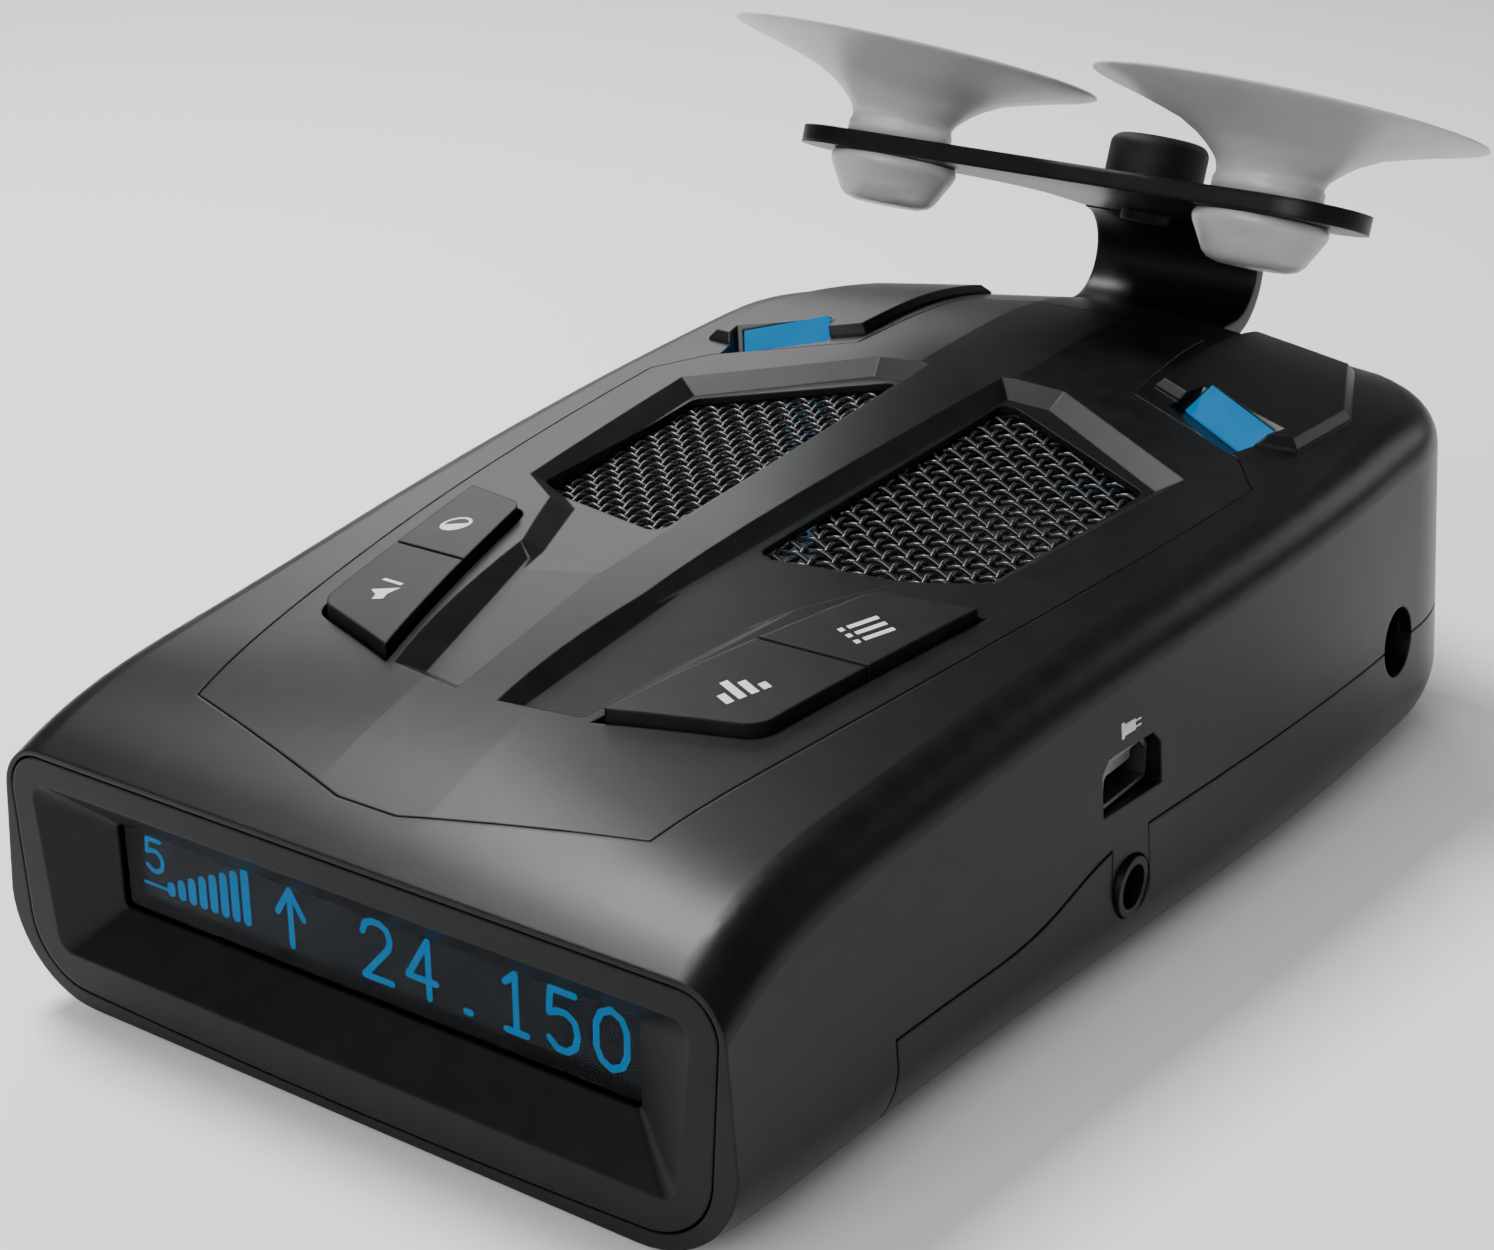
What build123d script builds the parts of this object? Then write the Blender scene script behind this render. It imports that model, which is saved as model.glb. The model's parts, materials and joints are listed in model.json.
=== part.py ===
from build123d import *
import math
import os

os.makedirs("parts", exist_ok=True)

# Windscreen radar detector. X is across, +Y runs from the display end to the windscreen end,
# +Z is up and the flat underside lies on z = 0. While the parts are drawn the display end is
# the plane y = 0; each saved part is shifted so that the origin is the middle of the underside.

# ---- case form -------------------------------------------------------------------------
body_len = 119.0        # display end to windscreen end
front_half = 33.7       # half width at the display end
max_half = 39.6         # half width at the widest place
max_at = body_len - 23.0   # where along Y the case is widest
corner_r = 20.0         # plan radius of the rear corners
corner_sweep = 60.0     # how far round that radius goes before the flat rear face, degrees
front_h = 22.0          # height of the case at the display end
brow_rise = 8.0         # how much the brow lifts behind the display end
brow_len = 15.5         # how quickly it lifts
top_slope = 0.058       # long slope of the top towards the rear
tail_at = body_len - 21.0  # where the top starts to fall at the rear
tail_drop = 3.5
crown_slope = 0.12      # fall of the top from the spine to the shoulders
crown_run = 17.0
spine_half = 5.0        # flat strip along the middle of the top
chin_lift = 1.3         # underside lifts a little at the display end
chin_run = 5.0
edge_r = 8.0            # underside edge radius
shoulder_r = 4.0        # top edge radius
side_draft = 0.09       # side wall lean, mm per mm
rear_edge_r = 2.5
base_trim = 0.05        # sliver planed off the underside to leave it truly flat
wall = 2.0
rear_wall = 2.2

# ---- case halves -----------------------------------------------------------------------
split_y = 18.5          # the front of the lower half
part_front_z = 10.0     # parting line height at the front
part_rear_z = 13.4      # and towards the rear
part_ramp_from = 30.0
part_ramp_to = 52.0
seam = 0.2              # visible gap along the parting line
lip_h = 1.2             # locating lip
lip_gap = 0.1

# ---- display end -----------------------------------------------------------------------
bezel_top_half = 32.3
bezel_bot_half = 31.4
bezel_top_z = 21.4
bezel_bot_z = 2.9
bezel_bow = 0.7         # how far the lower edge bows down
bezel_top_r = 3.2
bezel_bot_r = 5.6
bezel_t = 4.0
bezel_gap = 0.15
bulkhead_t = 2.5        # case wall behind the bezel
mouth_top_half = 30.2
mouth_bot_half = 28.8
mouth_top_z = 19.3
mouth_bot_z = 5.4
mouth_r = 1.4
window_half = 24.2
window_bot_z = 9.4
window_top_z = 16.4
window_r = 0.5
funnel_depth = 2.7
pane_t = 1.0
pane_lap = 1.5
module_half = 27.0
module_bot_z = 7.3
module_top_z = 18.7
module_t = 2.4
display_board_half = 28.5
display_board_bot_z = 5.0
display_board_top_z = 20.0
display_board_t = 1.3

# ---- top panel -------------------------------------------------------------------------
panel_t = 1.6
panel_gap = 0.12
ledge_w = 3.0
ledge_t = 1.5
panel_tip_y = 4.0
panel_tip_half = 2.7
panel_front_half = 20.8
panel_front_y = 8.6
panel_mid_half = 27.4
panel_mid_y = 44.0
panel_rear_half = 31.2
panel_rear_y = body_len - 40.0
panel_heel_half = 27.6
panel_heel_y = body_len - 35.0
panel_waist_half = 14.6
panel_waist_y = body_len - 29.0
panel_end_half = 13.2
panel_end_y = body_len - 11.0
valley_depth = 1.3
valley_floor_t = 1.5
valley_wall_run = 1.7   # how far the valley walls lean in
valley_sink = 0.2       # extra depth in the middle of each flat stretch of floor
valley_bend_y = 34.0    # where the two flat stretches of floor meet
opening_corner_r = 1.2

# ---- grilles ---------------------------------------------------------------------------
grille_t = 0.5
grille_drop = 2.15      # grille face below the top surface
grille_lap = 1.0
grille_pitch = 2.3
grille_bar = 0.8
grille_turn = 6.0       # weave direction, degrees

# ---- buttons ---------------------------------------------------------------------------
button_gap = 0.45
button_proud = 0.9
button_split_gap = 0.3
button_travel = 0.4
flange_w = 0.7
flange_t = 0.8
key_round = 3.0
stem_r = 1.3

# ---- electronics -----------------------------------------------------------------------
board_z = 14.8          # underside of the main board
board_t = 1.6
fit = 0.05              # small face-to-face clearance
keypad_z = 19.6
keypad_t = 1.2
switch_size = 4.5
switch_h = 2.0
switch_knob_r = 1.0
switch_knob_h = 0.6
boss_r = 3.0
boss_hole_r = 1.35
pilot_r = 1.12
screw_r = 1.1
screw_head_r = 2.2
screw_head_t = 1.4
screw_head_z = 4.6
counterbore_r = 2.5
case_boss = [(27.0, 26.0), (32.0, 85.5)]
horn_half = 20.0
horn_from = 72.0
horn_to = body_len - 6.0
horn_bot_z = 2.6
mouth_half_w = 17.5
mouth_half_h = 4.6
throat_half_w = 6.0
throat_half_h = 2.6
throat_y = 90.0
speaker_r = 12.0
speaker_x = 13.2
speaker_y = 64.0
speaker_bot_z = 21.4
speaker_h = 6.2
collar_t = 1.0

# ---- sockets ---------------------------------------------------------------------------
usb_y = 49.2
usb_w = 7.6
usb_h = 3.9
usb_len = 9.0
usb_shell = 0.35
usb_recess = 0.7       # shell end behind the wall face
usb_clear = 0.3
jack_y = 48.7
jack_z = 9.2
jack_bore_r = 1.8
jack_bore_len = 14.0
jack_ring_r = 2.45
jack_slot_gap = 0.15
power_y = max_at
power_z = 13.6
power_hole_r = 3.2
power_bore_r = 2.8
power_pin_r = 1.0
power_body = 9.4

# ---- alert windows ---------------------------------------------------------------------
lens_in = (18.9, body_len - 27.2)   # lower inner corner of the slanted face
lens_in_sink = 0.85                 # its depth below the top
lens_out = (26.5, body_len - 30.8)  # lower outer corner
lens_out_sink = 1.65
lens_rise = 3.3
lens_t = 2.2
lens_gap = 0.12
lens_slant = 45.0       # lean of the face back from upright, degrees
hump_rise = 0.95
hump_bevel = 0.7
scoop_margin = 0.6
pipe_w = 3.0
pipe_d = 2.4
pipe_x = 22.7
pipe_y = lens_in[1] + 1.4

# ---- bracket ---------------------------------------------------------------------------
strip_t = 1.7
strip_half = 9.1
tongue_sink = 2.4       # middle of the tongue below the top at the rear face
tongue_len = 20.0       # how far the tongue reaches into the case
bend_out = 5.0          # rear face to the middle of the bend
bend_r = 5.6            # to the middle of the strip
bar_lean = 18.5         # lean of the cup axes towards the windscreen, degrees
bar_roll = 1.0          # slight sideways set of the crossbar, degrees
cup_flop = 2.3          # how far each soft bell leans over on its neck, degrees
bar_reach = 22.6        # bend to the middle of the crossbar
bar_end = 9.9           # cup axis to the end of the crossbar
bar_half_w = 6.6
bar_fillet = 9.0
cup_r = 18.15
cup_apart = 2.7         # gap between the two rims
cup_h = 9.2             # crossbar to the rim
rim_t = 0.4             # thickness of the sealing rim
rim_w = 0.8             # width of its flat land
neck_r = 3.3
neck_gap = 0.05
socket_gap = 0.15
bumper_r = 5.0
bumper_h = 5.6
bumper_at = 4.6
bumper_stem_r = 1.6

FAR = 65.0              # reach of construction blocks, well beyond the case
HIGH = 50.0             # top of construction blocks, above the case
cup_x = cup_r + cup_apart / 2
bar_half = cup_x + bar_end
tongue_from = body_len - tongue_len
bend_y = body_len + bend_out


def save(node, shape):
    """Write one sub-part as its own STEP file."""
    solids = [s.moved(Location((0, -body_len / 2, 0))) for s in shape.solids()]
    out = solids[0] if len(solids) == 1 else Compound(children=solids)
    out.label = node
    export_step(out, f"parts/{node}.step")


def lift(shape, dz):
    """Copy moved straight up or down."""
    return shape.moved(Location((0, 0, dz)))


def box(x0, x1, y0, y1, z0, z1):
    """Box between two corners."""
    size = (x1 - x0, y1 - y0, z1 - z0)
    mid = ((x0 + x1) / 2, (y0 + y1) / 2, (z0 + z1) / 2)
    return Box(*size).moved(Location(mid))


def rod_x(x0, x1, y, z, r):
    """Cylinder along X."""
    turn = Location((x0, y, z), (0, 90, 0))
    return Cylinder(r, x1 - x0, align=(Align.CENTER, Align.CENTER, Align.MIN)).moved(turn)


def rod_z(x, y, z0, z1, r):
    """Cylinder along Z."""
    align = (Align.CENTER, Align.CENTER, Align.MIN)
    return Cylinder(r, z1 - z0, align=align).moved(Location((x, y, z0)))


def rod_y(x, z, y0, y1, r):
    """Cylinder along Y."""
    align = (Align.CENTER, Align.CENTER, Align.MIN)
    return Cylinder(r, y1 - y0, align=align).moved(Location((x, y0, z), (-90, 0, 0)))


def both(shape):
    """The shape and its mirror image across the middle plane."""
    return [shape, shape.mirror(Plane.YZ)]


# ---- case form -------------------------------------------------------------------------
corner_y = body_len - corner_r * math.sin(math.radians(corner_sweep))


def side_half(y):
    """Half width of the case at the parting height."""
    if y <= corner_y:
        grow = (1 - math.cos(math.pi * min(y, max_at) / max_at)) / 2
        return front_half + (max_half - front_half) * grow
    return max_half - corner_r * (1 - math.sqrt(1 - ((y - corner_y) / corner_r) ** 2))


def ridge_z(y):
    """Height of the middle of the top."""
    z = front_h + brow_rise * (1 - math.exp(-y / brow_len)) + top_slope * y
    if y > tail_at:
        z -= tail_drop * ((y - tail_at) / (body_len - tail_at)) ** 2
    return z


tongue_z = ridge_z(body_len) - tongue_sink


def crown(y):
    """Sideways fall of the top."""
    return crown_slope * (1 - math.exp(-((y / crown_run) ** 2)))


def top_z(x, y):
    """Height of the top surface over a plan point."""
    return ridge_z(y) - crown(y) * max(0.0, abs(x) - spine_half)


def section(y, inset):
    """Cross-section of the case across Y, drawn in by the inset."""
    half = side_half(y) - inset
    top = ridge_z(y) - inset
    low = chin_lift * math.exp(-y / chin_run) - base_trim + inset
    r_low = edge_r - inset
    r_top = max(shoulder_r - inset, 1.5)
    fall = crown(y)
    z_low = low + r_low
    knee_z = (top - fall * (half + side_draft * z_low - spine_half)) / (1 - fall * side_draft)
    knee = Vector(half - side_draft * (knee_z - z_low), y, knee_z)
    down = Vector(side_draft, 0, -1).normalized()
    inward = Vector(-1, 0, fall).normalized()
    angle = math.acos(down.dot(inward))
    middle = (down + inward).normalized()
    run = r_top / math.tan(angle / 2)
    reach = r_top / math.sin(angle / 2) - r_top
    k = math.sqrt(0.5)
    right = [
        Vector(half - r_low, y, low),
        Vector(half - r_low + r_low * k, y, low + r_low - r_low * k),
        Vector(half, y, z_low),
        knee + down * run,
        knee + middle * reach,
        knee + inward * run,
        Vector(spine_half, y, top),
    ]
    left = [Vector(-p.X, p.Y, p.Z) for p in right]
    edges = [
        Edge.make_line(left[0], right[0]),
        Edge.make_three_point_arc(right[0], right[1], right[2]),
        Edge.make_line(right[2], right[3]),
        Edge.make_three_point_arc(right[3], right[4], right[5]),
        Edge.make_line(right[5], right[6]),
        Edge.make_line(right[6], left[6]),
        Edge.make_line(left[6], left[5]),
        Edge.make_three_point_arc(left[5], left[4], left[3]),
        Edge.make_line(left[3], left[2]),
        Edge.make_three_point_arc(left[2], left[1], left[0]),
    ]
    return Wire(edges)


def form(inset, y_from, y_to):
    """The case form between two cross-sections, drawn in by the inset."""
    along = [0.025, 0.06, 0.1, 0.16, 0.24, 0.34, 0.45, 0.57, 0.69, 0.78, 0.825]
    stations = [a * body_len for a in along]
    stations += [corner_y + corner_r * math.sin(math.radians(a)) for a in (5, 20, 35, 48)]
    inner = [y for y in stations if y_from + 1 < y < y_to - 1]
    return Solid.make_loft([section(y, inset) for y in [y_from] + inner + [y_to]], False)


def rear_rounded(solid, r):
    """Round the edge of the rear face."""
    return solid.fillet(r, solid.faces().sort_by(Axis.Y)[-1].edges())


outer = rear_rounded(form(0, 0, body_len), rear_edge_r) & box(-FAR, FAR, -1, 2 * FAR, 0, FAR)
bulkhead_y = bezel_t + bulkhead_t
cavity = form(wall, bulkhead_y, body_len - rear_wall)
lip_outer = form(wall / 2 + lip_gap, bulkhead_y, body_len - rear_wall / 2 - lip_gap)
lip_recess = form(wall / 2, bulkhead_y, body_len - rear_wall / 2)

# Zone of the lower half: behind the split and under the parting line.
zone_edges = [
    Edge.make_line((0, split_y, -5), (0, body_len + 9, -5)),
    Edge.make_line((0, body_len + 9, -5), (0, body_len + 9, part_rear_z)),
    Edge.make_line((0, body_len + 9, part_rear_z), (0, part_ramp_to, part_rear_z)),
    Edge.make_bezier(
        (0, part_ramp_to, part_rear_z),
        (0, (part_ramp_from + part_ramp_to) / 2, part_rear_z),
        (0, (part_ramp_from + part_ramp_to) / 2, part_front_z),
        (0, part_ramp_from, part_front_z),
    ),
    Edge.make_line((0, part_ramp_from, part_front_z), (0, split_y, part_front_z)),
    Edge.make_line((0, split_y, part_front_z), (0, split_y, -5)),
]
zone_face = Face(Wire(zone_edges))
lower_zone = extrude(zone_face, amount=FAR, dir=(1, 0, 0), both=True)


def grown_zone(d):
    """The lower zone grown forwards and upwards."""
    return lower_zone.moved(Location((0, -d, d)))


# ---- plan outlines on the top ----------------------------------------------------------
def plan_polygon(points):
    """Closed plan outline from its corners."""
    return make_face(Polyline(*[(x, y, 0) for x, y in points], close=True))


def prism(face, z0=14.0, z1=HIGH):
    """Straight-sided block over a plan outline."""
    return extrude(Pos(0, 0, z0) * face, amount=z1 - z0, dir=(0, 0, 1))


def grow(face, d):
    """Plan outline grown or shrunk."""
    return offset(face, amount=d, kind=Kind.INTERSECTION)


def panel_outline():
    """Plan outline of the top panel."""
    side = ThreePointArc(
        (panel_front_half, panel_front_y),
        (panel_mid_half, panel_mid_y),
        (panel_rear_half, panel_rear_y),
    )
    back = Polyline(
        (panel_rear_half, panel_rear_y),
        (panel_heel_half, panel_heel_y),
        (panel_waist_half, panel_waist_y),
        (panel_end_half, panel_end_y),
        (0, panel_end_y),
    )
    nose = Polyline((0, panel_tip_y), (panel_tip_half, panel_tip_y), (panel_front_half, panel_front_y))
    half = [e for part in (nose, side, back) for e in part.edges()]
    full = half + [e.mirror(Plane.YZ) for e in half]
    return Face(Wire.combine(full)[0])


panel_plan = panel_outline()

# One valley: long recess beside the spine that narrows to a point at the front.
valley_pts = [(1.3, 15.3), (8.7, 17.3), (13.4, 37.5), (17.0, 46.0), (22.6, 50.4),
              (25.6, 76.9), (9.3, 86.1), (3.3, 85.3)]
# One sound opening in the valley floor.
opening_pts = [(4.6, 44.0), (21.7, 50.7), (23.2, 75.1), (5.4, 83.3)]
# One pair of keys.
key_pts = [(9.5, 16.9), (20.85, 21.5), (25.1, 45.4), (16.7, 42.4)]
key_split = ((14.3, 31.1), (21.0, 32.4))

valley_plan = plan_polygon(valley_pts)
opening_plan = plan_polygon(opening_pts)
opening_plan = fillet(opening_plan.vertices(), opening_corner_r).face()


def key_pocket_plan():
    """Outline of a key pocket: two corners are rounded."""
    face = plan_polygon(key_pts)
    corners = [v for v in face.vertices() if abs(v.Y - key_pts[1][1]) < 0.1 or abs(v.Y - key_pts[3][1]) < 0.1]
    return fillet(corners, key_round)


pocket_face = key_pocket_plan().faces()[0]
cap_plan = grow(pocket_face, -button_gap).faces()[0]
skirt_plan = grow(pocket_face, flange_w - button_gap).faces()[0]


def above(depth, block):
    """Part of a block that lies above the top surface shifted down by depth."""
    return block - lift(outer, -depth)


def layer(face, d_top, d_low):
    """Slice under a plan outline between two depths below the top surface."""
    return (prism(face) & lift(outer, -d_top)) - lift(outer, -d_low)


# ---- alert window plane ----------------------------------------------------------------
lens_a = Vector(*lens_in, top_z(*lens_in) - lens_in_sink)
lens_b = Vector(*lens_out, top_z(*lens_out) - lens_out_sink)
pipe_top = lens_a.Z - 1.3
lens_u = (lens_b - lens_a).normalized()
lean = math.radians(lens_slant)
lens_n = Vector(0, -math.cos(lean), math.sin(lean))
lens_n = (lens_n - lens_u * lens_n.dot(lens_u)).normalized()
lens_plane = Plane(origin=lens_a, x_dir=lens_u, z_dir=lens_n)
lens_w = (lens_b - lens_a).length


def lens_quad(side, low, high):
    """Rounded slanted quadrilateral of the alert window, grown by margins."""
    pts = [(-side, -low), (lens_w + side, -low), (lens_w + side * 1.2, lens_rise + high),
           (-side, lens_rise + high)]
    return lens_plane * make_face(Polyline(*pts, close=True))


lens_block = extrude(lens_quad(0, 0, 0), amount=lens_t, dir=-lens_n)
lens_hole = extrude(lens_quad(lens_gap, lens_gap, lens_gap), amount=lens_t + 3, dir=-lens_n)
lens_hole += extrude(lens_quad(lens_gap, lens_gap, lens_gap), amount=1.0, dir=lens_n)
scoop_dir = (-0.1, -0.93, 0.35)
scoop = extrude(lens_quad(scoop_margin, 0.2, 1.5), amount=11.0, dir=scoop_dir)
pipe_hole = box(pipe_x - pipe_w / 2 - 0.15, pipe_x + pipe_w / 2 + 0.15, pipe_y - pipe_d / 2 - 0.15,
                pipe_y + pipe_d / 2 + 0.15, board_z, pipe_top + 0.1)
rear = body_len
hump_pts = [(15.4, rear - 26.4), (27.0, rear - 32.0), (31.0, rear - 30.5), (32.0, rear - 21.0),
            (26.5, rear - 6.5), (14.6, rear - 3.0)]
hump_plan = plan_polygon(hump_pts)
hump = lift(outer, hump_rise) & prism(hump_plan, 26, HIGH)
hump_top = hump.faces().sort_by(Axis.Z)[-1]
hump = chamfer(hump_top.edges(), hump_bevel)
lens_keep_plan = plan_polygon([(14.0, rear - 35.0), (31.5, rear - 39.0), (31.5, rear - 22.0), (14.0,
                                                                                               rear - 22.0)])
lens_keep = above(4.2, prism(lens_keep_plan))

# ---- case shell ------------------------------------------------------------------------
ledge_keep = above(panel_t + ledge_t, prism(grow(panel_plan, 1.5)) - prism(grow(panel_plan, -ledge_w)))
hollow = cavity - ledge_keep
for piece in both(lens_keep):
    hollow -= piece
body_solid = outer
for piece in both(hump):
    body_solid += piece
shell = body_solid - hollow


def boss(x, y, z0, z1, r):
    """Screw boss, trimmed to stay inside the case form."""
    return rod_z(x, y, z0, z1, r) & lift(form(0.5, 0, body_len - 0.5), -0.2)


def rounded_quad(top_half, bot_half, z_top, z_bot, bow, r_top, r_bot, y):
    """Upright outline at a given y: straight top, sides, and a bowed lower edge."""
    lines = [
        Edge.make_line((-top_half, y, z_top), (top_half, y, z_top)),
        Edge.make_line((top_half, y, z_top), (bot_half, y, z_bot)),
    ]
    if bow > 0:
        lines.append(Edge.make_three_point_arc((bot_half, y, z_bot), (0, y, z_bot - bow), (-bot_half, y,
                                                                                           z_bot)))
    else:
        lines.append(Edge.make_line((bot_half, y, z_bot), (-bot_half, y, z_bot)))
    lines.append(Edge.make_line((-bot_half, y, z_bot), (-top_half, y, z_top)))
    face = Face(Wire(lines))
    tops = [v for v in face.vertices() if abs(v.Z - z_top) < 0.01]
    lows = [v for v in face.vertices() if abs(v.Z - z_bot) < 0.01]
    face = face.fillet_2d(r_top, tops)
    lows = [v for v in face.vertices() if abs(v.Z - z_bot) < 0.01 and abs(v.X) > bot_half - 0.01]
    return face.fillet_2d(r_bot, lows)


def bezel_face(grow_by):
    """Outline of the bezel, optionally grown for its pocket."""
    return rounded_quad(bezel_top_half + grow_by, bezel_bot_half + grow_by, bezel_top_z + grow_by,
                        bezel_bot_z - grow_by, bezel_bow, bezel_top_r, bezel_bot_r, 0)


def along_y(face, amount):
    """Extrude an upright outline towards the rear."""
    return extrude(face, amount=amount, dir=(0, 1, 0))


bezel_pocket = along_y(bezel_face(bezel_gap), bezel_t)
display_opening = box(-module_half - 0.3, module_half + 0.3, bezel_t - 0.1, bulkhead_y + 0.1,
                      module_bot_z - 0.3, module_top_z + 0.3)

# ---- sockets and openings through the walls --------------------------------------------
board_top = board_z + board_t
usb_z = board_top + fit + usb_h / 2
wall_x_usb = side_half(usb_y) - side_draft * (usb_z - edge_r)
usb_face_x = wall_x_usb - usb_recess


def usb_outline(grow_by):
    """Socket outline across Y and Z with its two upper corners cut off."""
    w = usb_w / 2 + grow_by
    h = usb_h / 2 + grow_by
    cut = 1.1
    pts = [(0, usb_y - w, usb_z - h), (0, usb_y + w, usb_z - h), (0, usb_y + w, usb_z + h - cut),
           (0, usb_y + w - cut, usb_z + h), (0, usb_y - w + cut, usb_z + h), (0, usb_y - w, usb_z + h - cut)]
    return make_face(Polyline(*pts, close=True))


def along_x(face, x0, x1):
    """Extrude an outline drawn at x = 0 so that it spans x0 to x1."""
    return extrude(Pos(x0, 0, 0) * face, amount=x1 - x0, dir=(1, 0, 0))


usb_opening = along_x(usb_outline(usb_clear), usb_face_x - 4, usb_face_x + 6)
wall_x_jack = side_half(jack_y)
slot_r = jack_ring_r + jack_slot_gap
jack_slot = rod_x(wall_x_jack - 5, wall_x_jack + 3, jack_y, jack_z, slot_r)
jack_slot += box(wall_x_jack - 5, wall_x_jack + 3, jack_y - slot_r, jack_y + slot_r, jack_z, part_rear_z + 3)
jack_tab_zone = box(wall_x_jack - 2.6, wall_x_jack + 3, jack_y - slot_r + 0.1, jack_y + slot_r - 0.1,
                    jack_z, part_rear_z + 0.6)
jack_tab_zone -= rod_x(wall_x_jack - 6, wall_x_jack + 4, jack_y, jack_z, slot_r + 0.05)
power_opening = rod_x(max_half - 5, max_half + 3, power_y, power_z, power_hole_r)
rear_pane_half = 19.0
rear_pane_bot = 17.2
rear_pane_top = 26.2
rear_opening = box(-rear_pane_half - 0.1, rear_pane_half + 0.1, body_len - rear_wall - 1, body_len + 1,
                   rear_pane_bot - 0.1, rear_pane_top + 0.1)

# ---- bracket socket inside the rear of the top -----------------------------------------
slot_half = strip_half + socket_gap
slot_low = tongue_z - strip_t / 2 - socket_gap
slot_high = tongue_z + strip_t / 2 + socket_gap
socket_block = box(-slot_half - 1.6, slot_half + 1.6, tongue_from - 2.2, body_len - 1, slot_low - 1.4,
                   slot_high + 1.2)
socket_slot = box(-slot_half, slot_half, tongue_from - 0.4, body_len + 1, slot_low, slot_high)

# ---- upper half ------------------------------------------------------------------------
panel_pocket = above(panel_t + fit, prism(panel_plan))
panel_through = prism(grow(panel_plan, -ledge_w))
upper = shell
for bx, by in case_boss:
    for piece in both(boss(bx, by, board_top + fit, HIGH, boss_r)):
        upper += piece
upper -= panel_pocket
upper -= panel_through
upper += socket_block & lift(outer, -panel_t - fit)
upper -= socket_slot
upper -= grown_zone(seam)
upper -= lip_recess & grown_zone(lip_h + seam)
for bx, by in case_boss:
    upper += (rod_z(bx, by, board_top + fit, 18, boss_r) + rod_z(-bx, by, board_top + fit, 18, boss_r))
    for sx in (bx, -bx):
        upper -= rod_z(sx, by, board_top - 1, 23.4, pilot_r)
upper -= bezel_pocket
upper -= display_opening
upper -= usb_opening
upper += (outer - cavity) & jack_tab_zone
upper -= power_opening
upper -= rear_opening
for piece in both(scoop):
    upper -= piece
for piece in both(lens_hole + pipe_hole):
    upper -= piece
for face in (skirt_plan, skirt_plan.mirror(Plane.YZ)):
    upper -= prism(grow(face, 0.3)) & lift(outer, -1.0)
save("upper_case", upper)

# ---- lower half ------------------------------------------------------------------------
lower = (outer - cavity) & lower_zone
lower += (lip_outer - cavity) & grown_zone(lip_h)
for bx, by in case_boss:
    for sx in (bx, -bx):
        lower += rod_z(sx, by, 1.0, board_z - fit, boss_r + 0.3) & outer
for bx, by in case_boss:
    for sx in (bx, -bx):
        lower -= rod_z(sx, by, -1.0, screw_head_z + screw_head_t, counterbore_r)
        lower -= rod_z(sx, by, 0, board_z + 1, boss_hole_r)
lower -= jack_slot
lower -= power_opening
save("lower_case", lower)

# ---- top panel -------------------------------------------------------------------------
panel = layer(grow(panel_plan, -panel_gap), 0, panel_t)
valley_low = valley_depth + valley_floor_t
for face in (valley_plan, valley_plan.mirror(Plane.YZ)):
    panel += layer(grow(face, 1.3), panel_t / 2, valley_low)


def valley_stretch(y_from, y_to, y_mid):
    """Cutter for one stretch of a valley: flat floor, walls that lean outwards."""
    band = Pos(0, (y_from + y_to) / 2) * Rectangle(4 * max_half, y_to - y_from)
    floor_plan = grow((valley_plan & band).face(), -valley_wall_run)
    x_mid = (valley_pts[0][0] + valley_pts[4][0]) / 2
    rise = (ridge_z(y_mid + 5) - ridge_z(y_mid - 5)) / 10
    up = Vector(crown(y_mid), -rise, 1)
    low = top_z(x_mid, y_mid) - valley_depth - valley_sink
    plane = Plane(origin=(x_mid, y_mid, low), x_dir=(1, 0, -crown(y_mid)), z_dir=up)
    drawn = plane * Pos(-x_mid, -y_mid, 0) * floor_plan
    angle = math.degrees(math.atan(valley_wall_run / valley_depth))
    return extrude(drawn.face(), amount=2.5 * valley_depth, dir=plane.z_dir, taper=-angle)


cut = valley_stretch(0, valley_bend_y + 4, 24.0) + valley_stretch(valley_bend_y - 4, body_len, 60.0)
for piece in both(cut):
    panel -= piece
for face in (opening_plan, opening_plan.mirror(Plane.YZ)):
    panel -= prism(face)

grille_origin = (13.5, 64.0)
dz_dy = (ridge_z(80) - ridge_z(48)) / 32
grille_n = Vector(crown_slope, -dz_dy, 1).normalized()
grille_o = Vector(grille_origin[0], grille_origin[1], top_z(*grille_origin) - grille_drop)
grille_plane = Plane(origin=grille_o, x_dir=Vector(1, 0, -crown_slope).normalized(), z_dir=grille_n)
grille_seat = prism(grow(opening_plan, grille_lap + 0.1)) & (
    grille_plane * Box(60, 60, 2.2, align=(Align.CENTER, Align.CENTER, Align.MAX)))
collar = rod_z(speaker_x, speaker_y, speaker_bot_z + 1.5, HIGH, speaker_r + 0.15 + collar_t)
collar -= rod_z(speaker_x, speaker_y, 10, HIGH, speaker_r + 0.15)
panel += collar & lift(outer, -valley_low + 0.4)
for piece in both(grille_seat):
    panel -= piece
for face in (pocket_face, pocket_face.mirror(Plane.YZ)):
    panel -= prism(face)
for face in (skirt_plan, skirt_plan.mirror(Plane.YZ)):
    panel -= prism(grow(face, 0.3)) & lift(outer, -panel_t - fit)
post_low = keypad_z + keypad_t + fit
post_at = [(0.0, 18.0), (0.0, 43.5)]
for px, py in post_at:
    panel += rod_z(px, py, post_low, HIGH, 2.2) & lift(outer, -panel_t + 0.4)
for px, py in post_at:
    panel -= rod_z(px, py, post_low - 1, post_low + 4.5, 0.95)
save("top_panel", panel)

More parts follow.
